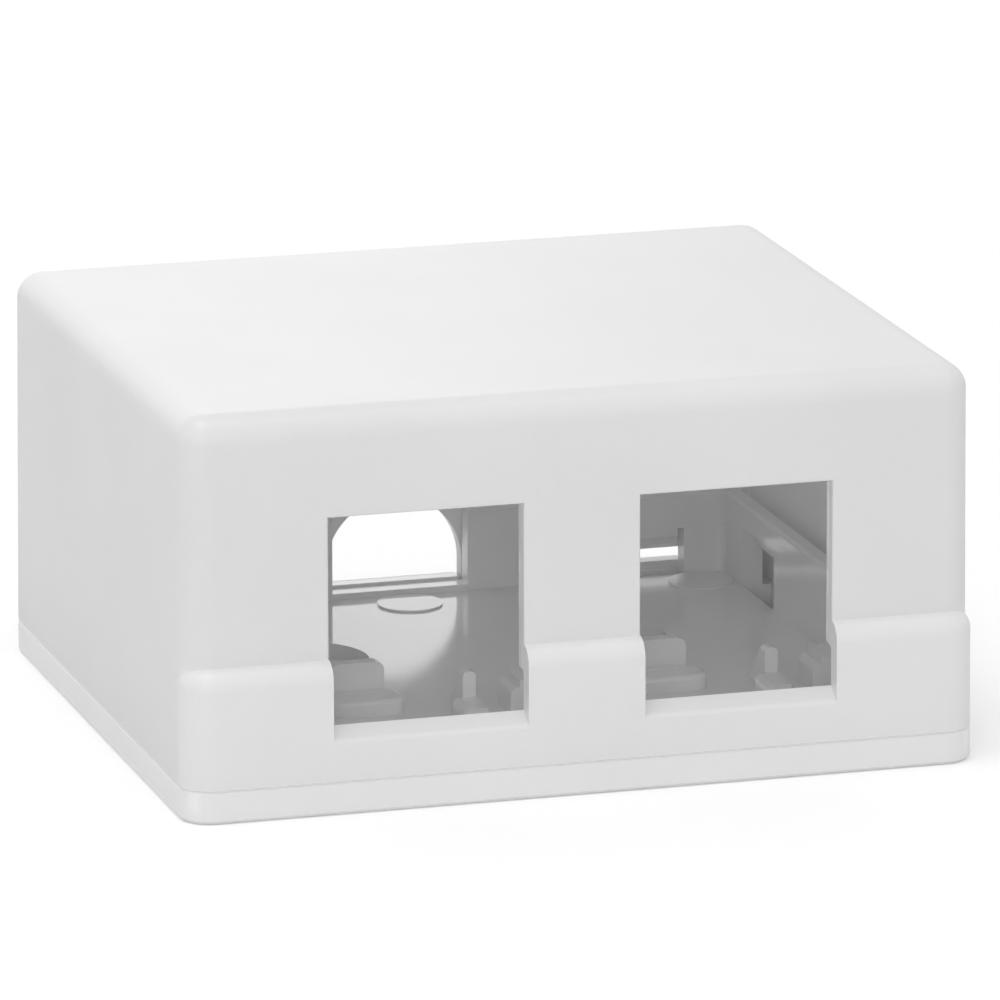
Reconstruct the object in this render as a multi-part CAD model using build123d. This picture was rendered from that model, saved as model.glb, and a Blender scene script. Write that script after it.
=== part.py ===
from build123d import *
import math
import os

# Two-port surface mount jack box, in millimetres.
# The origin is at the middle of the footprint on the underside of the base.
# +Z is up off the wall or desk, -Y is the side with the jack ports, +X is to the right.

# Outer size
WIDTH = 62.0
DEPTH = 54.0
HEIGHT = 30.6
SEAM_Z = 2.5
SEAM_CHAMFER = 0.15
CORNER_R = 2.4
DRAFT_DEG = 0.5

# Cover shell
COVER_WALL = 1.4
COVER_TOP = 1.6
COVER_TOP_R = 2.0
COVER_INNER_R = 1.0
COVER_INNER_TOP_R = 0.6

# Band along the bottom of the cover's front
BAND_STEP = 1.2
BAND_TOP_Z = 11.7
BAND_ROUND_R = 1.5
BAND_INNER_R = 0.5
BAND_LEDGE_WALL = 2.0
BAND_DEPTH = 12.0

# Jack ports in the cover's front
PORT_PITCH = 24.2
PORT_WIDTH = 15.1
PORT_TOP_Z = 22.5
PORT_SILL_Z = 5.7
PORT_SILL_RISE = 0.9
PORT_SILL_R = 0.5
PORT_EDGE_R = 0.2

# Cable entry in the back, an arch over a sill that stands up from the base
ENTRY_R = 5.6
ENTRY_SPRING_Z = 4.6
KEY_TOP_Z = 3.2
KEY_CLEARANCE = 0.15
ENTRY_WALL_SILL = 0.5
ENTRY_CHAMFER = 0.15

# Base tray
SIDE_GAP = 0.9
BACK_GAP = 0.3
TRAY_WALL = 1.6
TRAY_TOP_Z = 9.2
TRAY_OUTER_R = 2.0
TRAY_INNER_R = 0.6
TRAY_FRONT_SETBACK = 4.5
TRAY_TOP_CHAMFER = 0.3
BASE_CHAMFER = 0.3

# Snap latches: lugs inside the cover, windows in the tray wall
LATCH_WINDOW = 7.7
LATCH_END_CLEARANCE = 0.4
LATCH_BITE = 0.45
LATCH_TOP_CLEARANCE = 0.15
LATCH_ROOT = 0.7
SIDE_LATCH_FROM_FRONT = 10.4
SIDE_LATCH_FROM_BACK = 12.15
SIDE_WINDOW_TOP_Z = 7.2
SIDE_LUG_HEIGHT = 2.5
BACK_LATCH_FROM_SIDE = 11.15
BACK_WINDOW_TOP_Z = 6.3
BACK_LUG_HEIGHT = 1.6
CORE_CLEARANCE = 0.2

# Slots in the cover's back wall, for a blade that frees the back latches
PRY_SLOT_WIDTH = 8.8
PRY_SLOT_TOP_Z = 4.3

# Screw recesses in the floor, one behind each port
SCREW_OFFSET_X = -0.6
SCREW_FROM_FRONT = 34.3
RECESS_R = 5.3
RECESS_DEPTH = 1.2
SCREW_HOLE_R = 2.1

# Relief for tape in the underside
TAPE_DEPTH = 0.5
TAPE_INSET = 5.0
TAPE_CORNER_R = 3.0
SCREW_PAD_WALL = 1.6

# Jack cradle on the floor behind each port
FOOT_RISE = 1.25
FOOT_HALF = 3.0
FOOT_DEPTH = 3.4
FOOT_R = 1.2
FOOT_EDGE_R = 0.4
STOP_FROM_FRONT = 20.3
STOP_HALF = 2.1
STOP_RISE = 3.35
STOP_THICKNESS = 1.1
STOP_R = 0.7
SIDE_FOOT_FROM_FRONT = 12.4
SIDE_FOOT_DEPTH = 3.5
SIDE_FOOT_X = 7.1
SIDE_FOOT_HALF = 1.0
SIDE_FOOT_R = 0.6
GUSSET_THICKNESS = 1.05
GUSSET_RISE = 3.25
GUSSET_FLAT = 1.1
GUSSET_LENGTH = 3.6
GUSSET_R = 0.4

# Stepped posts beside the jacks
MIDDLE_POST_HALF = 1.6
SIDE_POST_REACH = 4.5
POST_FROM_FRONT = 14.6
POST_DEPTH = 3.5
POST_RISE = 2.05
POST_TALL_RISE = 2.6
POST_STEP = 0.7
POST_R = 0.6

# Raised pads under the ejector pins, along the back of the floor
PAD_R = 2.6
PAD_RISE = 0.15
PAD_FROM_BACK = 6.1

# How far a cut or a buried end reaches past the face it goes through
CUT = 1.0

half_w = WIDTH / 2
half_d = DEPTH / 2
upper_front_y = -half_d + BAND_STEP
tray_out_x = half_w - COVER_WALL - SIDE_GAP
tray_in_x = tray_out_x - TRAY_WALL
tray_out_y = half_d - COVER_WALL - BACK_GAP
tray_in_y = tray_out_y - TRAY_WALL
tray_front_y = -half_d + TRAY_FRONT_SETBACK
port_x = [-PORT_PITCH / 2, PORT_PITCH / 2]
side_latch_y = [-half_d + SIDE_LATCH_FROM_FRONT, half_d - SIDE_LATCH_FROM_BACK]
back_latch_x = [-half_w + BACK_LATCH_FROM_SIDE, half_w - BACK_LATCH_FROM_SIDE]
screw_y = -half_d + SCREW_FROM_FRONT


def box_between(x_low, x_high, y_low, y_high, z_low, z_high):
    """A plain block given by its limits."""
    block = Box(x_high - x_low, y_high - y_low, z_high - z_low, align=(Align.MIN, Align.MIN, Align.MIN))
    return Pos(x_low, y_low, z_low) * block


def rounded_block(half_x, front_y, back_y, z_low, z_high, radius, taper=0.0):
    """A block with rounded upright edges, whose sides lean in by the taper."""
    outline = Pos(0, (front_y + back_y) / 2, z_low) * RectangleRounded(2 * half_x, back_y - front_y, radius)
    return extrude(outline, z_high - z_low, taper=taper)


def disc(x, y, z_low, z_high, radius):
    """An upright round block."""
    return Pos(x, y, z_low) * Cylinder(radius, z_high - z_low, align=(Align.CENTER, Align.CENTER, Align.MIN))


def profile_along_x(points, x_low, x_high):
    """A prism along X from a closed outline of (y, z) points."""
    outline = make_face(Polyline([(x_low, y, z) for y, z in points], close=True))
    return extrude(outline, x_high - x_low, dir=(1, 0, 0))


def top_edges(form):
    """The edges round the top of a form."""
    return form.edges().group_by(Axis.Z)[-1]


def shell_form(inset, top_z, band_top_z, corner_r, top_r, band_r):
    """The cover's form set in by a wall: a leaning box, and a band in front whose top is rounded off."""
    side = half_w - inset
    band_front_y = -half_d + inset
    box = rounded_block(side, upper_front_y + inset, half_d - inset, SEAM_Z, top_z, corner_r, DRAFT_DEG)
    band = rounded_block(side, band_front_y, band_front_y + BAND_DEPTH, SEAM_Z, band_top_z, corner_r, DRAFT_DEG)
    return fillet(top_edges(box), top_r) + fillet(top_edges(band), band_r)


def port_cut(x):
    """The opening for one jack, with a sill that falls away to the outside."""
    inner_z = PORT_SILL_Z + PORT_SILL_RISE
    inner_y = -half_d + COVER_WALL
    back_y = upper_front_y + COVER_WALL + CUT
    slope = PORT_SILL_RISE / COVER_WALL
    outline = [
        (-half_d - CUT, PORT_TOP_Z),
        (back_y, PORT_TOP_Z),
        (back_y, inner_z),
        (inner_y, inner_z),
        (-half_d - CUT, PORT_SILL_Z - CUT * slope),
    ]
    return profile_along_x(outline, x - PORT_WIDTH / 2, x + PORT_WIDTH / 2)


def lug_profile(reach, top_z, height):
    """Outline of a snap lug: flat on top, upright in the middle, sloped below for the way in."""
    ramp = min(reach, height / 2)
    return [
        (0, top_z),
        (reach, top_z),
        (reach, top_z - height + ramp),
        (reach - ramp, top_z - height),
        (0, top_z - height),
    ]


def side_lug(y, side):
    """A lug on the inside of a side wall of the cover, reaching into the tray."""
    reach = LATCH_ROOT + SIDE_GAP + LATCH_BITE
    top_z = SIDE_WINDOW_TOP_Z - LATCH_TOP_CLEARANCE
    length = LATCH_WINDOW - 2 * LATCH_END_CLEARANCE
    wall_x = half_w - COVER_WALL + LATCH_ROOT
    points = [(side * (wall_x - u), y - length / 2, z) for u, z in lug_profile(reach, top_z, SIDE_LUG_HEIGHT)]
    return extrude(make_face(Polyline(points, close=True)), length, dir=(0, 1, 0))


def back_lug(x):
    """A lug on the inside of the cover's back wall, above its pry slot."""
    reach = LATCH_ROOT + BACK_GAP + LATCH_BITE
    top_z = BACK_WINDOW_TOP_Z - LATCH_TOP_CLEARANCE
    length = LATCH_WINDOW - 2 * KEY_CLEARANCE
    wall_y = half_d - COVER_WALL + LATCH_ROOT
    points = [(x - length / 2, wall_y - u, z) for u, z in lug_profile(reach, top_z, BACK_LUG_HEIGHT)]
    return extrude(make_face(Polyline(points, close=True)), length, dir=(1, 0, 0))


def make_cover():
    """The moulded cover: a drafted shell with two ports, a cable arch and six snap lugs."""
    outer = shell_form(0.0, HEIGHT, BAND_TOP_Z, CORNER_R, COVER_TOP_R, BAND_ROUND_R)
    outer = chamfer(outer.edges().group_by(Axis.Z)[0], SEAM_CHAMFER)
    inner_top_z = HEIGHT - COVER_TOP
    inner_band_z = BAND_TOP_Z - BAND_LEDGE_WALL
    inner = shell_form(COVER_WALL, inner_top_z, inner_band_z, COVER_INNER_R, COVER_INNER_TOP_R, BAND_INNER_R)
    inner += extrude(inner.faces().sort_by(Axis.Z)[0], CUT, dir=(0, 0, -1))
    cover = outer - inner

    for x in port_x:
        cover -= port_cut(x)
    front_edges = cover.edges().filter_by_position(Axis.Y, -half_d, -half_d + PORT_SILL_R)
    sills = front_edges.filter_by(Axis.X).filter_by_position(
        Axis.Z, PORT_SILL_Z - PORT_SILL_R, PORT_SILL_Z + PORT_SILL_R
    )
    cover = fillet(sills, PORT_SILL_R)
    reach_x = (PORT_PITCH + PORT_WIDTH) / 2 + CUT
    rims = cover.edges().filter_by_position(Axis.Y, upper_front_y, upper_front_y + COVER_WALL / 2)
    rims = rims.filter_by_position(Axis.X, -reach_x, reach_x)
    rims = rims.filter_by_position(Axis.Z, BAND_TOP_Z, PORT_TOP_Z + CUT)
    cover = fillet(rims, PORT_EDGE_R)

    wall_low_y = half_d - COVER_WALL - CUT
    wall_high_y = half_d + CUT
    cover -= box_between(-ENTRY_R, ENTRY_R, wall_low_y, wall_high_y, SEAM_Z - CUT, ENTRY_SPRING_Z)
    arch = Cylinder(ENTRY_R, wall_high_y - wall_low_y, rotation=(90, 0, 0))
    cover -= Pos(0, (wall_low_y + wall_high_y) / 2, ENTRY_SPRING_Z) * arch
    arch_rim = cover.edges().filter_by_position(Axis.Y, half_d - COVER_WALL / 2, half_d)
    arch_rim = arch_rim.filter_by_position(Axis.X, -ENTRY_R, ENTRY_R)
    arch_rim = arch_rim.filter_by_position(Axis.Z, ENTRY_SPRING_Z, ENTRY_SPRING_Z + ENTRY_R + CUT)
    cover = chamfer(arch_rim, ENTRY_CHAMFER)

    for x in back_latch_x:
        half = PRY_SLOT_WIDTH / 2
        cover -= box_between(x - half, x + half, wall_low_y, wall_high_y, SEAM_Z - CUT, PRY_SLOT_TOP_Z)
        cover += back_lug(x)
    for y in side_latch_y:
        cover += side_lug(y, 1)
        cover += side_lug(y, -1)
    return cover


def side_foot(x, side):
    """A low foot under one side of a jack, rounded towards the jack, with a gusset behind it."""
    front_y = -half_d + SIDE_FOOT_FROM_FRONT
    back_y = front_y + SIDE_FOOT_DEPTH
    foot = box_between(-SIDE_FOOT_HALF, SIDE_FOOT_HALF, front_y, back_y, SEAM_Z, SEAM_Z + FOOT_RISE)
    inner_face = foot.faces().sort_by(Axis.X)[0 if side > 0 else -1]
    foot = fillet(inner_face.edges().sort_by(Axis.Z)[1:], SIDE_FOOT_R)
    rib_profile = [
        (back_y, SEAM_Z),
        (back_y, SEAM_Z + GUSSET_RISE),
        (back_y + GUSSET_FLAT, SEAM_Z + GUSSET_RISE),
        (back_y + GUSSET_LENGTH, SEAM_Z),
    ]
    rib_low = SIDE_FOOT_HALF - GUSSET_THICKNESS if side > 0 else -SIDE_FOOT_HALF
    rib = profile_along_x(rib_profile, rib_low, rib_low + GUSSET_THICKNESS)
    rib = fillet(top_edges(rib).filter_by(Axis.Y), GUSSET_R)
    return Pos(x + side * SIDE_FOOT_X, 0, 0) * (foot + rib)


def cradle(x):
    """What holds one jack on the floor: a middle foot with its stop, and two side feet with gussets."""
    stop_y = -half_d + STOP_FROM_FRONT
    foot = rounded_block(FOOT_HALF, stop_y - FOOT_DEPTH, stop_y, SEAM_Z, SEAM_Z + FOOT_RISE, FOOT_R)
    foot = fillet(top_edges(foot), FOOT_EDGE_R)
    stop = box_between(-STOP_HALF, STOP_HALF, stop_y, stop_y + STOP_THICKNESS, SEAM_Z, SEAM_Z + STOP_RISE)
    stop = fillet(top_edges(stop).filter_by(Axis.Y), STOP_R)
    return Pos(x, 0, 0) * (foot + stop) + side_foot(x, 1) + side_foot(x, -1)


def side_posts():
    """Low stepped posts beside the jacks: one between the ports and one at each side wall."""
    front_y = -half_d + POST_FROM_FRONT
    back_y = front_y + POST_DEPTH
    low_z = SEAM_Z + POST_RISE
    tall_z = SEAM_Z + POST_TALL_RISE
    tall_half = MIDDLE_POST_HALF - POST_STEP
    middle = box_between(-MIDDLE_POST_HALF, MIDDLE_POST_HALF, front_y, back_y, SEAM_Z, low_z)
    posts = fillet(top_edges(middle).filter_by(Axis.Y), POST_R)
    posts += box_between(-tall_half, tall_half, front_y, back_y, SEAM_Z, tall_z)
    free_x = tray_in_x - SIDE_POST_REACH
    root_x = tray_in_x + TRAY_WALL / 2
    for side in (-1, 1):
        low = sorted((side * free_x, side * root_x))
        post = box_between(low[0], low[1], front_y, back_y, SEAM_Z, low_z)
        free_edge = top_edges(post).filter_by(Axis.Y).sort_by(Axis.X)[0 if side > 0 else -1]
        posts += fillet(free_edge, POST_R)
        tall = sorted((side * (free_x + POST_STEP), side * root_x))
        posts += box_between(tall[0], tall[1], front_y, back_y, SEAM_Z, tall_z)
    return posts


def make_base():
    """The moulded base: a plate with a low tray wall, latch windows, screw recesses and jack cradles."""
    plate = rounded_block(half_w, -half_d, half_d, 0, SEAM_Z, CORNER_R)
    plate = chamfer(plate.edges().group_by(Axis.Z)[0], BASE_CHAMFER)
    plate = chamfer(top_edges(plate), SEAM_CHAMFER)

    tray = rounded_block(tray_out_x, tray_front_y - CORNER_R, tray_out_y, SEAM_Z / 2, TRAY_TOP_Z, TRAY_OUTER_R)
    tray -= rounded_block(tray_in_x, -half_d, tray_in_y, 0, TRAY_TOP_Z, TRAY_INNER_R)
    tray -= box_between(-half_w, half_w, -half_d - CUT, tray_front_y, 0, TRAY_TOP_Z)
    base = plate + chamfer(top_edges(tray), TRAY_TOP_CHAMFER)

    entry_sill_z = SEAM_Z + ENTRY_WALL_SILL
    wall_low_y = tray_in_y - CUT
    wall_high_y = tray_out_y + CUT
    base -= box_between(-ENTRY_R, ENTRY_R, wall_low_y, tray_out_y, entry_sill_z, TRAY_TOP_Z + CUT)

    half = LATCH_WINDOW / 2
    core_x = half_w - COVER_WALL - CORE_CLEARANCE
    core_y = half_d - COVER_WALL - CORE_CLEARANCE / 2
    for x in back_latch_x:
        base -= box_between(x - half, x + half, wall_low_y, wall_high_y, SEAM_Z, BACK_WINDOW_TOP_Z)
        base -= box_between(x - half, x + half, tray_in_y, core_y, -CUT, SEAM_Z + CUT)
    for side in (-1, 1):
        span = sorted((side * (tray_in_x - CUT), side * (tray_out_x + CUT)))
        core = sorted((side * tray_in_x, side * core_x))
        for y in side_latch_y:
            base -= box_between(span[0], span[1], y - half, y + half, SEAM_Z, SIDE_WINDOW_TOP_Z)
            base -= box_between(core[0], core[1], y - half, y + half, -CUT, SEAM_Z + CUT)

    key_low_y = half_d - COVER_WALL
    keys = [(0, ENTRY_R)] + [(x, PRY_SLOT_WIDTH / 2) for x in back_latch_x]
    for x, reach in keys:
        key_half = reach - KEY_CLEARANCE
        base += box_between(x - key_half, x + key_half, key_low_y, half_d, SEAM_Z - CUT, KEY_TOP_Z)

    relief = rounded_block(
        half_w - TAPE_INSET, -half_d + TAPE_INSET, half_d - TAPE_INSET, -CUT, TAPE_DEPTH, TAPE_CORNER_R
    )
    for x in port_x:
        relief -= disc(x + SCREW_OFFSET_X, screw_y, -2 * CUT, TAPE_DEPTH + CUT, RECESS_R + SCREW_PAD_WALL)
    base -= relief
    for x in port_x:
        screw_x = x + SCREW_OFFSET_X
        base -= disc(screw_x, screw_y, SEAM_Z - RECESS_DEPTH, SEAM_Z + CUT, RECESS_R)
        base -= disc(screw_x, screw_y, -CUT, SEAM_Z, SCREW_HOLE_R)
        base += cradle(x)
    base += side_posts()

    for x in (-PORT_PITCH, 0, PORT_PITCH):
        base += disc(x, half_d - PAD_FROM_BACK, SEAM_Z - CUT, SEAM_Z + PAD_RISE, PAD_R)
    return base


os.makedirs("parts", exist_ok=True)
export_step(make_base(), "parts/base.step")
export_step(make_cover(), "parts/cover.step")
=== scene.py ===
"""Surface mount jack box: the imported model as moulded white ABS, with its stage and camera."""

import math

import bpy
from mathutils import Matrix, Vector


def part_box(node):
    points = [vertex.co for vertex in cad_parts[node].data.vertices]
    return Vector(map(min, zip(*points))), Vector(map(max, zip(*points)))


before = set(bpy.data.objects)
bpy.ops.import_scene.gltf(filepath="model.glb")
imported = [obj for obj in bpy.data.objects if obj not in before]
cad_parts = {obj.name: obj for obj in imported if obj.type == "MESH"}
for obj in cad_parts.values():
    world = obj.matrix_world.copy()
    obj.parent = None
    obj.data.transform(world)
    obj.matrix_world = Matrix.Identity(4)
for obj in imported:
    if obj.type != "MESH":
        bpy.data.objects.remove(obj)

bl_info = {
    "name": "Surface Mount Jack Box",
    "version": (1, 0, 0),
    "blender": (4, 5, 0),
    "location": "3D View > Sidebar > Jack Box",
    "description": "Finishes a two-port jack box in moulded ABS and sets its stage",
    "category": "Object",
}

MM = 0.001

# Colours as sRGB hex values
COVER_WHITE = "#F6F6F6"
BASE_WHITE = "#F6F6F6"
# The inside is painted whiter than the outside, to lighten the shade in the bays
INSIDE_LIGHTENED_WHITE = "#FDFDFD"
CLOUD_TINT = "#E8E8E8"
FLOOR_WHITE = "#F4F4F4"
BACKGROUND_WHITE = "#FFFFFF"

# Where the clean inside of the mouldings begins: behind the cover's walls, its top and the wall
# with the band in front, and above the lowest face inside the base, the floor of its recesses
COVER_WALL = 1.4 * MM
COVER_TOP = 1.6 * MM
BAND_WALL = 2.6 * MM
BAND_TOP_Z = 11.7 * MM
RECESS_FLOOR_Z = 1.3 * MM
# A mask stops this far off the faces that it takes in or leaves out, and its edge is this soft
MASK_MARGIN = 0.4 * MM
MASK_SOFT = 0.1 * MM

ABS_IOR = 1.53

# The clouds use this middle part of their noise
CLOUD_FROM = 0.3
CLOUD_TO = 0.7

# The grain of the tool has one octave more than plain noise, and a rougher one
GRAIN_DETAIL = 3.0
GRAIN_ROUGHNESS = 0.6

# The marks of the polished tool are this much longer in X than they are wide
MARK_STRETCH = 25.0

# Sockets of the Mix node by number, because several share a name
MIX_FACTOR = 0
MIX_NUMBER_A = 2
MIX_NUMBER_B = 3
MIX_COLOUR_A = 6
MIX_COLOUR_B = 7
MIX_NUMBER_OUT = 0
MIX_COLOUR_OUT = 2

# Soft lamps, square and turned to the middle of the box: name, place and width in metres
LAMP_TARGET = Vector((0, 0, 15 * MM))
LAMPS = (
    ("key", Vector((-0.15, -0.1, 0.9)), 0.5),
    ("fill", Vector((-0.26, -0.72, 0.24)), 0.3),
    ("back", Vector((0.0, 0.8, 0.15)), 0.5),
)

# The floor lies this far under the base, so that their faces don't coincide
FLOOR_GAP = 0.02 * MM

# Light bounces often between the white walls of the bays
DIFFUSE_BOUNCES = 8
MAX_BOUNCES = 12

# Camera, fitted to the outline, the ledge and the openings in the photograph
CAMERA_AZIMUTH = math.radians(16.60)
CAMERA_ELEVATION = math.radians(14.39)
CAMERA_TARGET = Vector((1.413 * MM, 0.625 * MM, 15.909 * MM))
CAMERA_DISTANCE = 754.8 * MM
# Lens and sensor in millimetres, and the nearest and farthest that it sees in metres
CAMERA_LENS = 352.2
CAMERA_SENSOR = 36.0
CAMERA_NEAR = 0.01
CAMERA_FAR = 20.0


def linear(hex_colour):
    """An sRGB hex colour as linear red, green, blue and alpha."""

    def channel(text):
        value = int(text, 16) / 255
        return value / 12.92 if value <= 0.04045 else ((value + 0.055) / 1.055) ** 2.4

    return tuple(channel(hex_colour[i : i + 2]) for i in (1, 3, 5)) + (1.0,)


def add(tree, kind, values=None, links=None, **settings):
    """Adds a node with its settings, the values of its sockets and the links into them."""
    node = tree.nodes.new(kind)
    for name, value in settings.items():
        setattr(node, name, value)
    for socket, value in (values or {}).items():
        node.inputs[socket].default_value = value
    for socket, source in (links or {}).items():
        tree.links.new(source, node.inputs[socket])
    return node


def new_material(name):
    """An empty node material."""
    material = bpy.data.materials.new(name)
    material.use_nodes = True
    material.node_tree.nodes.clear()
    return material


def box_mask(tree, place, low, high):
    """A socket that is 1 inside a box and 0 outside it, with a soft edge."""
    centre = (low + high) / 2
    half = (high - low) / 2
    moved = add(
        tree,
        "ShaderNodeVectorMath",
        operation="SUBTRACT",
        values={1: centre},
        links={0: place},
    )
    folded = add(
        tree,
        "ShaderNodeVectorMath",
        operation="ABSOLUTE",
        links={0: moved.outputs["Vector"]},
    )
    beyond = add(
        tree,
        "ShaderNodeVectorMath",
        operation="SUBTRACT",
        values={1: half},
        links={0: folded.outputs["Vector"]},
    )
    parts = add(tree, "ShaderNodeSeparateXYZ", links={0: beyond.outputs["Vector"]})
    wide = add(
        tree,
        "ShaderNodeMath",
        operation="MAXIMUM",
        links={0: parts.outputs["X"], 1: parts.outputs["Y"]},
    )
    most = add(
        tree,
        "ShaderNodeMath",
        operation="MAXIMUM",
        links={0: wide.outputs["Value"], 1: parts.outputs["Z"]},
    )
    soft = add(
        tree,
        "ShaderNodeMapRange",
        values={"From Min": -MASK_SOFT, "From Max": MASK_SOFT, "To Min": 1.0, "To Max": 0.0},
        links={"Value": most.outputs["Value"]},
    )
    return soft.outputs["Result"]


def clouded_white(tree, place, inside, colour, finish):
    """A socket with the white of the plastic, whiter inside and with wide faint clouds.

    The inside is painted whiter, to lighten the shade in the bays.
    The melt leaves the clouds as it flows and cools.
    """
    # Paints the inside whiter, to lighten the shade in the bays
    plastic = add(
        tree,
        "ShaderNodeMix",
        data_type="RGBA",
        values={MIX_COLOUR_A: colour, MIX_COLOUR_B: finish.inside_lightened_colour},
        links={MIX_FACTOR: inside},
    )
    clouds = add(
        tree,
        "ShaderNodeTexNoise",
        values={"Scale": 1 / (finish.cloud_size * MM)},
        links={"Vector": place},
    )
    shade = add(
        tree,
        "ShaderNodeMapRange",
        values={"From Min": CLOUD_FROM, "From Max": CLOUD_TO, "To Max": finish.cloud_depth},
        links={"Value": clouds.outputs["Fac"]},
    )
    tint = add(
        tree,
        "ShaderNodeMix",
        data_type="RGBA",
        blend_type="MULTIPLY",
        values={MIX_COLOUR_B: linear(CLOUD_TINT)},
        links={MIX_FACTOR: shade.outputs["Result"], MIX_COLOUR_A: plastic.outputs[MIX_COLOUR_OUT]},
    )
    return tint.outputs[MIX_COLOUR_OUT]


def tool_relief(tree, place, inside, finish):
    """A normal socket with the tool's grain outside and the marks of its polishing inside."""
    # The grain is drawn about three times as coarse as it is, so that it shows
    grain = add(
        tree,
        "ShaderNodeTexNoise",
        values={
            "Scale": 1 / (finish.grain_size * MM),
            "Detail": GRAIN_DETAIL,
            "Roughness": GRAIN_ROUGHNESS,
        },
        links={"Vector": place},
    )
    stretched = add(
        tree,
        "ShaderNodeMapping",
        values={"Scale": (1 / MARK_STRETCH, 1.0, 1.0)},
        links={"Vector": place},
    )
    marks = add(
        tree,
        "ShaderNodeTexNoise",
        values={"Scale": 1 / (finish.mark_width * MM)},
        links={"Vector": stretched.outputs["Vector"]},
    )
    relief = add(
        tree,
        "ShaderNodeMix",
        data_type="FLOAT",
        links={
            MIX_FACTOR: inside,
            MIX_NUMBER_A: grain.outputs["Fac"],
            MIX_NUMBER_B: marks.outputs["Fac"],
        },
    )
    depth = add(
        tree,
        "ShaderNodeMapRange",
        values={"To Min": finish.grain_depth * MM, "To Max": finish.mark_depth * MM},
        links={"Value": inside},
    )
    bump = add(
        tree,
        "ShaderNodeBump",
        links={"Height": relief.outputs[MIX_NUMBER_OUT], "Distance": depth.outputs["Result"]},
    )
    return bump.outputs["Normal"]


def moulded_abs(name, colour, through, finish, low, high, thick=None):
    """White ABS, injection moulded: spark-eroded grain outside, polished tool inside.

    The grain breaks reflections outside into a soft satin. The inside, between the corners low and
    high, is cleaner, is painted whiter to lighten the shade in the bays, mirrors the light at a
    flat angle and keeps the long faint marks of the polished tool. The walls are thin, so a share
    of the light goes through them and brightens the bays, but less between the corners in thick.
    """
    material = new_material(name)
    tree = material.node_tree
    place = add(tree, "ShaderNodeTexCoord").outputs["Object"]
    inside = box_mask(tree, place, low, high)
    white = clouded_white(tree, place, inside, colour, finish)
    relief = tool_relief(tree, place, inside, finish)
    rough = add(
        tree,
        "ShaderNodeMapRange",
        values={"To Min": finish.roughness, "To Max": finish.inside_roughness},
        links={"Value": inside},
    )
    surface = add(
        tree,
        "ShaderNodeBsdfPrincipled",
        values={"IOR": ABS_IOR},
        links={"Base Color": white, "Roughness": rough.outputs["Result"], "Normal": relief},
    )
    # Light that the thin wall lets through
    passing = add(
        tree,
        "ShaderNodeBsdfTranslucent",
        links={"Color": white, "Normal": relief},
    )
    wall = add(
        tree,
        "ShaderNodeMixShader",
        values={0: through},
        links={1: surface.outputs["BSDF"], 2: passing.outputs["BSDF"]},
    )
    if thick:
        share = add(
            tree,
            "ShaderNodeMapRange",
            values={"To Min": through, "To Max": finish.band_through},
            links={"Value": box_mask(tree, place, *thick)},
        )
        tree.links.new(share.outputs["Result"], wall.inputs[0])
    add(tree, "ShaderNodeOutputMaterial", links={"Surface": wall.outputs["Shader"]})
    return material


def finish_node(name, material):
    """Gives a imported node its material."""
    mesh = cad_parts[name].data
    mesh.materials.clear()
    mesh.materials.append(material)


class JackBoxFinish(bpy.types.PropertyGroup):
    """Colours and surface of the two mouldings."""

    cover_colour: bpy.props.FloatVectorProperty(
        name="Cover colour",
        description="Colour of the cover's ABS",
        subtype="COLOR",
        size=4,
        min=0.0,
        max=1.0,
        default=linear(COVER_WHITE),
    )
    base_colour: bpy.props.FloatVectorProperty(
        name="Base colour",
        description="Colour of the base's ABS",
        subtype="COLOR",
        size=4,
        min=0.0,
        max=1.0,
        default=linear(BASE_WHITE),
    )
    # Painted whiter than the outside, to lighten the shade in the bays
    inside_lightened_colour: bpy.props.FloatVectorProperty(
        name="Inside colour",
        description="Colour of the ABS on the clean inside of both mouldings",
        subtype="COLOR",
        size=4,
        min=0.0,
        max=1.0,
        default=linear(INSIDE_LIGHTENED_WHITE),
    )
    cover_through: bpy.props.FloatProperty(
        name="Light through the cover",
        description="Share of the light that goes through the cover's walls",
        subtype="FACTOR",
        min=0.0,
        max=1.0,
        default=0.2,
    )
    band_through: bpy.props.FloatProperty(
        name="Light through the band",
        description="Share of the light that goes through the cover's front band, which is thicker",
        subtype="FACTOR",
        min=0.0,
        max=1.0,
        default=0.13,
    )
    base_through: bpy.props.FloatProperty(
        name="Light through the base",
        description="Share of the light that goes through the base, which is thicker",
        subtype="FACTOR",
        min=0.0,
        max=1.0,
        default=0.08,
    )
    roughness: bpy.props.FloatProperty(
        name="Roughness",
        description="Roughness of the grained surface",
        subtype="FACTOR",
        min=0.0,
        max=1.0,
        default=0.35,
    )
    inside_roughness: bpy.props.FloatProperty(
        name="Inside roughness",
        description="Roughness of the smooth inside",
        subtype="FACTOR",
        min=0.0,
        max=1.0,
        default=0.1,
    )
    grain_size: bpy.props.FloatProperty(
        name="Grain size",
        description="Width of the tool's grain as drawn, in millimetres",
        min=0.05,
        default=0.3,
    )
    grain_depth: bpy.props.FloatProperty(
        name="Grain depth",
        description="Depth of the tool's grain in millimetres",
        min=0.0,
        default=0.016,
    )
    mark_width: bpy.props.FloatProperty(
        name="Mark width",
        description="Width of the polishing marks inside in millimetres",
        min=0.05,
        default=0.35,
    )
    mark_depth: bpy.props.FloatProperty(
        name="Mark depth",
        description="Depth of the polishing marks inside in millimetres",
        min=0.0,
        default=0.008,
    )
    cloud_size: bpy.props.FloatProperty(
        name="Cloud size",
        description="Width of the faint clouds in the colour in millimetres",
        min=1.0,
        default=14.0,
    )
    cloud_depth: bpy.props.FloatProperty(
        name="Cloud depth",
        description="How far the clouds shade the colour",
        subtype="FACTOR",
        min=0.0,
        max=1.0,
        default=0.12,
    )


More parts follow.
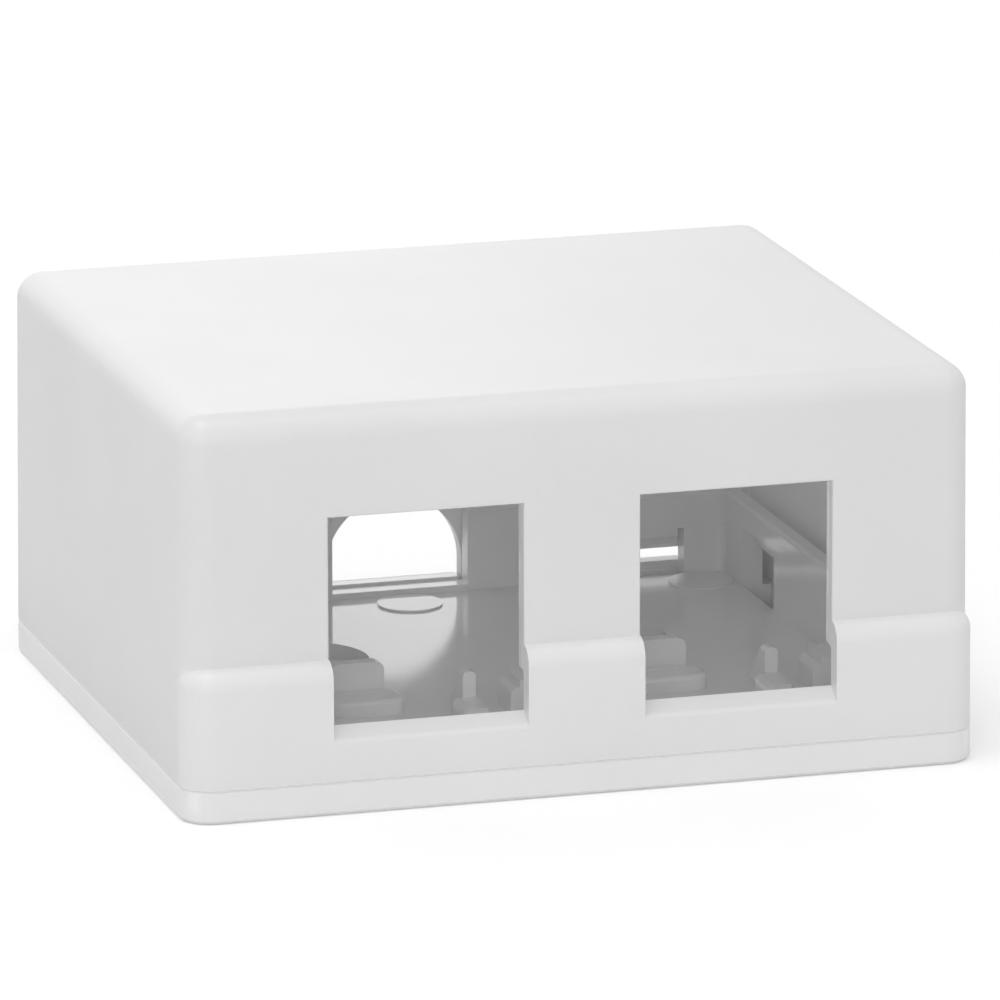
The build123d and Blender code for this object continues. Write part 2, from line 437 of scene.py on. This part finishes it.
class JackBoxStage(bpy.types.PropertyGroup):
    """Floor, light and camera."""

    floor_colour: bpy.props.FloatVectorProperty(
        name="Floor colour",
        description="Colour of the floor under the box",
        subtype="COLOR",
        size=4,
        min=0.0,
        max=1.0,
        default=linear(FLOOR_WHITE),
    )
    floor_lift: bpy.props.FloatProperty(
        name="Floor lift",
        description="How much brighter the camera sees the floor under the box",
        subtype="FACTOR",
        min=0.0,
        max=1.0,
        default=0.165,
    )
    far_lift: bpy.props.FloatProperty(
        name="Far lift",
        description="How much brighter the camera sees the floor where the lamps fade out",
        subtype="FACTOR",
        min=0.0,
        max=1.0,
        default=0.42,
    )
    lamp_reach: bpy.props.FloatProperty(
        name="Lamp reach",
        description="Distance from the box at which the lamps have faded out",
        subtype="DISTANCE",
        unit="LENGTH",
        min=0.1,
        default=1.3,
    )
    floor_half: bpy.props.FloatProperty(
        name="Floor half width",
        description="How far the floor reaches on each side",
        subtype="DISTANCE",
        unit="LENGTH",
        min=0.1,
        default=4.0,
    )
    world_strength: bpy.props.FloatProperty(
        name="World light",
        description="Strength of the even light from all round",
        min=0.0,
        default=0.64,
    )
    key_power: bpy.props.FloatProperty(
        name="Key light",
        description="Power of the soft light above the box",
        unit="POWER",
        min=0.0,
        default=2.35,
    )
    fill_power: bpy.props.FloatProperty(
        name="Fill light",
        description="Power of the soft light in front of the box",
        unit="POWER",
        min=0.0,
        default=0.72,
    )
    back_power: bpy.props.FloatProperty(
        name="Back light",
        description="Power of the soft light low behind the box",
        unit="POWER",
        min=0.0,
        default=0.68,
    )


class JACKBOX_OT_finish_base(bpy.types.Operator):
    """Finish the base in moulded ABS."""

    bl_idname = "jackbox.finish_base"
    bl_label = "Finish Base"

    def execute(self, context):
        finish = context.scene.jack_box_finish
        low, high = (Vector(corner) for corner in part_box("base"))
        low += Vector((MASK_MARGIN, MASK_MARGIN, RECESS_FLOOR_Z - MASK_MARGIN))
        high += Vector((-MASK_MARGIN, -MASK_MARGIN, MASK_MARGIN))
        material = moulded_abs(
            "moulded_abs_base", finish.base_colour, finish.base_through, finish, low, high
        )
        finish_node("base", material)
        return {"FINISHED"}


class JACKBOX_OT_finish_cover(bpy.types.Operator):
    """Finish the cover in moulded ABS."""

    bl_idname = "jackbox.finish_cover"
    bl_label = "Finish Cover"

    def execute(self, context):
        finish = context.scene.jack_box_finish
        low, high = (Vector(corner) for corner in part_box("cover"))
        band = (
            low - Vector((MASK_MARGIN, MASK_MARGIN, MASK_MARGIN)),
            Vector((high.x + MASK_MARGIN, low.y + BAND_WALL, BAND_TOP_Z)),
        )
        low += Vector((COVER_WALL, BAND_WALL - MASK_MARGIN, -MASK_MARGIN))
        high -= Vector((COVER_WALL, COVER_WALL, COVER_TOP))
        material = moulded_abs(
            "moulded_abs_cover",
            finish.cover_colour,
            finish.cover_through,
            finish,
            low,
            high,
            band,
        )
        finish_node("cover", material)
        return {"FINISHED"}


def floor_material(stage):
    """Matt white card, plain and without gloss, lifted for the camera to meet the background."""
    material = new_material("matt_white_card")
    tree = material.node_tree
    place = add(tree, "ShaderNodeTexCoord").outputs["Object"]
    away = add(tree, "ShaderNodeVectorMath", operation="LENGTH", links={0: place})
    needed = add(
        tree,
        "ShaderNodeMapRange",
        values={"From Max": stage.lamp_reach, "To Min": stage.floor_lift, "To Max": stage.far_lift},
        links={"Value": away.outputs["Value"]},
    )
    path = add(tree, "ShaderNodeLightPath")
    lift = add(
        tree,
        "ShaderNodeMath",
        operation="MULTIPLY",
        links={0: path.outputs["Is Camera Ray"], 1: needed.outputs["Result"]},
    )
    card = add(tree, "ShaderNodeBsdfDiffuse", values={"Color": stage.floor_colour})
    glow = add(
        tree,
        "ShaderNodeEmission",
        values={"Color": linear(BACKGROUND_WHITE)},
        links={"Strength": lift.outputs["Value"]},
    )
    both = add(
        tree,
        "ShaderNodeAddShader",
        links={0: card.outputs["BSDF"], 1: glow.outputs["Emission"]},
    )
    add(tree, "ShaderNodeOutputMaterial", links={"Surface": both.outputs["Shader"]})
    return material


def add_floor(stage):
    """A flat floor under the box."""
    half = stage.floor_half
    mesh = bpy.data.meshes.new("floor")
    corners = [(-half, -half, 0), (half, -half, 0), (half, half, 0), (-half, half, 0)]
    mesh.from_pydata(corners, [], [(0, 1, 2, 3)])
    mesh.materials.append(floor_material(stage))
    floor = bpy.data.objects.new("floor", mesh)
    floor.location.z = -FLOOR_GAP
    bpy.context.scene.collection.objects.link(floor)


def set_world(stage):
    """Even white light, with a white background for the camera and for reflections."""
    world = bpy.data.worlds.new("white_studio")
    world.use_nodes = True
    tree = world.node_tree
    tree.nodes.clear()
    path = add(tree, "ShaderNodeLightPath")
    seen = add(
        tree,
        "ShaderNodeMath",
        operation="MAXIMUM",
        links={0: path.outputs["Is Camera Ray"], 1: path.outputs["Is Glossy Ray"]},
    )
    strength = add(
        tree,
        "ShaderNodeMapRange",
        values={"To Min": stage.world_strength},
        links={"Value": seen.outputs["Value"]},
    )
    background = add(
        tree,
        "ShaderNodeBackground",
        values={"Color": linear(BACKGROUND_WHITE)},
        links={"Strength": strength.outputs["Result"]},
    )
    add(tree, "ShaderNodeOutputWorld", links={"Surface": background.outputs["Background"]})
    bpy.context.scene.world = world


def aim(thing, place, target):
    """Puts a light or a camera at a place and turns it to a target."""
    thing.location = place
    thing.rotation_euler = (target - place).to_track_quat("-Z", "Y").to_euler()


def add_lamp(name, place, width, power):
    """A square soft light that shines at the box."""
    light = bpy.data.lights.new(name, "AREA")
    light.shape = "SQUARE"
    light.size = width
    light.energy = power
    lamp = bpy.data.objects.new(name, light)
    bpy.context.scene.collection.objects.link(lamp)
    aim(lamp, place, LAMP_TARGET)


def add_camera():
    """The camera at the photograph's place and angle."""
    camera = bpy.data.cameras.new("camera")
    camera.lens = CAMERA_LENS
    camera.sensor_width = CAMERA_SENSOR
    camera.clip_start = CAMERA_NEAR
    camera.clip_end = CAMERA_FAR
    back = Vector(
        (
            -math.sin(CAMERA_AZIMUTH) * math.cos(CAMERA_ELEVATION),
            -math.cos(CAMERA_AZIMUTH) * math.cos(CAMERA_ELEVATION),
            math.sin(CAMERA_ELEVATION),
        )
    )
    view = bpy.data.objects.new("camera", camera)
    bpy.context.scene.collection.objects.link(view)
    aim(view, CAMERA_TARGET + CAMERA_DISTANCE * back, CAMERA_TARGET)
    bpy.context.scene.camera = view


class JACKBOX_OT_set_stage(bpy.types.Operator):
    """Set the floor, the light and the camera."""

    bl_idname = "jackbox.set_stage"
    bl_label = "Set Stage"

    def execute(self, context):
        stage = context.scene.jack_box_stage
        add_floor(stage)
        set_world(stage)
        for name, place, width in LAMPS:
            add_lamp(name, place, width, getattr(stage, f"{name}_power"))
        add_camera()
        context.scene.view_settings.view_transform = "Standard"
        context.scene.cycles.diffuse_bounces = DIFFUSE_BOUNCES
        context.scene.cycles.max_bounces = MAX_BOUNCES
        return {"FINISHED"}


class JACKBOX_PT_panel(bpy.types.Panel):
    """The steps and their settings in the sidebar of the 3D view."""

    bl_idname = "JACKBOX_PT_panel"
    bl_label = "Jack Box"
    bl_space_type = "VIEW_3D"
    bl_region_type = "UI"
    bl_category = "Jack Box"

    def draw(self, context):
        layout = self.layout
        for step in STEPS:
            layout.operator(step.bl_idname)
        for group in (context.scene.jack_box_finish, context.scene.jack_box_stage):
            box = layout.box()
            for name in group.__annotations__:
                box.prop(group, name)


STEPS = (JACKBOX_OT_finish_base, JACKBOX_OT_finish_cover, JACKBOX_OT_set_stage)
CLASSES = (JackBoxFinish, JackBoxStage, *STEPS, JACKBOX_PT_panel)


def register():
    """Registers the classes and hangs the property groups on the scene."""
    for each in CLASSES:
        bpy.utils.register_class(each)
    bpy.types.Scene.jack_box_finish = bpy.props.PointerProperty(type=JackBoxFinish)
    bpy.types.Scene.jack_box_stage = bpy.props.PointerProperty(type=JackBoxStage)


def unregister():
    """Takes the property groups and the classes away again."""
    del bpy.types.Scene.jack_box_stage
    del bpy.types.Scene.jack_box_finish
    for each in reversed(CLASSES):
        bpy.utils.unregister_class(each)


def main():
    """Runs every step in order."""
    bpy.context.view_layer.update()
    register()
    bpy.ops.jackbox.finish_base()
    bpy.ops.jackbox.finish_cover()
    bpy.ops.jackbox.set_stage()


if __name__ == "__main__":
    main()
